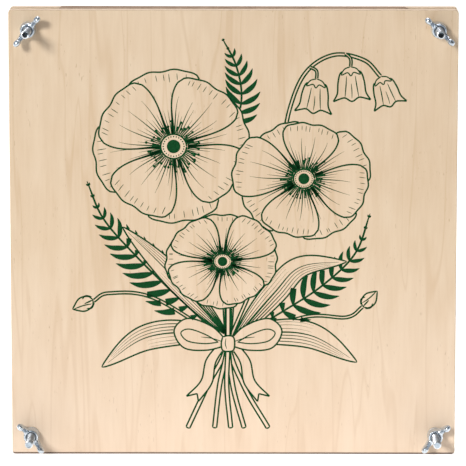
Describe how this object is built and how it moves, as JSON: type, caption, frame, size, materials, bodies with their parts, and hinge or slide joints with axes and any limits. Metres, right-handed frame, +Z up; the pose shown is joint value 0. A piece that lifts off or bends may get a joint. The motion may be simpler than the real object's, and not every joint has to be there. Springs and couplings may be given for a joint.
{
  "type": "flower press",
  "caption": "Square plywood flower press: a stack of cardboard and blotting paper clamped between boards by corner bolts with wing nuts.",
  "frame": {"origin": "on the floor under the middle of the press's bounding box, standing upright on its bottom edge", "axes": "+Z up, +X to the right as the front is seen, front board, wing nuts and bolt ends towards -Y"},
  "size_m": [0.33, 0.064, 0.3342],
  "materials": {
    "plywood": "sanded birch plywood, clear sealed",
    "zinc_plated_bolt": "bright zinc plated steel, rolled thread",
    "zinc_plated_washer": "bright zinc plated steel, stamped",
    "zinc_plated_nut": "bright zinc plated forged steel",
    "cardboard": "brown corrugated cardboard",
    "blotting_paper": "soft uncoated blotting paper"
  },
  "bodies": {
    "back_half": {"back_board": "plywood", "carriage_bolt_upper_left": "zinc_plated_bolt", "carriage_bolt_upper_right": "zinc_plated_bolt", "carriage_bolt_lower_left": "zinc_plated_bolt", "carriage_bolt_lower_right": "zinc_plated_bolt", "cardboard_sheet_1": "cardboard", "blotting_paper_1": "blotting_paper"},
    "rear_layer": {"blotting_paper_2": "blotting_paper", "cardboard_sheet_2": "cardboard", "blotting_paper_3": "blotting_paper"},
    "middle_layer": {"blotting_paper_4": "blotting_paper", "cardboard_sheet_3": "cardboard", "blotting_paper_5": "blotting_paper"},
    "front_layer": {"blotting_paper_6": "blotting_paper", "cardboard_sheet_4": "cardboard", "blotting_paper_7": "blotting_paper"},
    "front_half": {"blotting_paper_8": "blotting_paper", "cardboard_sheet_5": "cardboard", "front_board": "plywood", "washer_upper_left": "zinc_plated_washer", "washer_upper_right": "zinc_plated_washer", "washer_lower_left": "zinc_plated_washer", "washer_lower_right": "zinc_plated_washer"},
    "nut_upper_left": {"wing_nut_upper_left": "zinc_plated_nut"},
    "nut_upper_right": {"wing_nut_upper_right": "zinc_plated_nut"},
    "nut_lower_left": {"wing_nut_lower_left": "zinc_plated_nut"},
    "nut_lower_right": {"wing_nut_lower_right": "zinc_plated_nut"}
  },
  "joints": [
    {"name": "front_board_travel", "type": "slide", "parent": "back_half", "child": "front_half", "axis": [0, -1, 0], "range_m": [0, 0.024]},
    {"name": "upper_left_nut_turn", "type": "hinge", "parent": "front_half", "child": "nut_upper_left", "pos_m": [-0.1505, 0.00055, 0.3185], "axis": [0, -1, 0], "range_deg": [0, 8640.01]},
    {"name": "upper_right_nut_turn", "type": "hinge", "parent": "front_half", "child": "nut_upper_right", "pos_m": [0.1505, 0.00055, 0.3185], "axis": [0, -1, 0], "range_deg": [0, 8640.01]},
    {"name": "lower_left_nut_turn", "type": "hinge", "parent": "front_half", "child": "nut_lower_left", "pos_m": [-0.1505, 0.00055, 0.0145], "axis": [0, -1, 0], "range_deg": [0, 8640.01]},
    {"name": "lower_right_nut_turn", "type": "hinge", "parent": "front_half", "child": "nut_lower_right", "pos_m": [0.1505, 0.00055, 0.0145], "axis": [0, -1, 0], "range_deg": [0, 8640.01]},
    {"name": "rear_layer_travel", "type": "slide", "parent": "back_half", "child": "rear_layer", "axis": [0, -1, 0], "range_m": [0, 0.006]},
    {"name": "middle_layer_travel", "type": "slide", "parent": "back_half", "child": "middle_layer", "axis": [0, -1, 0], "range_m": [0, 0.012]},
    {"name": "front_layer_travel", "type": "slide", "parent": "back_half", "child": "front_layer", "axis": [0, -1, 0], "range_m": [0, 0.018]}
  ],
  "couplings": [
    {"joint": "upper_left_nut_turn", "follows": "front_board_travel", "rad_per_m": 6283.2},
    {"joint": "upper_right_nut_turn", "follows": "front_board_travel", "rad_per_m": 6283.2},
    {"joint": "lower_left_nut_turn", "follows": "front_board_travel", "rad_per_m": 6283.2},
    {"joint": "lower_right_nut_turn", "follows": "front_board_travel", "rad_per_m": 6283.2},
    {"joint": "rear_layer_travel", "follows": "front_board_travel", "ratio": 0.25},
    {"joint": "middle_layer_travel", "follows": "front_board_travel", "ratio": 0.5},
    {"joint": "front_layer_travel", "follows": "front_board_travel", "ratio": 0.75}
  ]
}
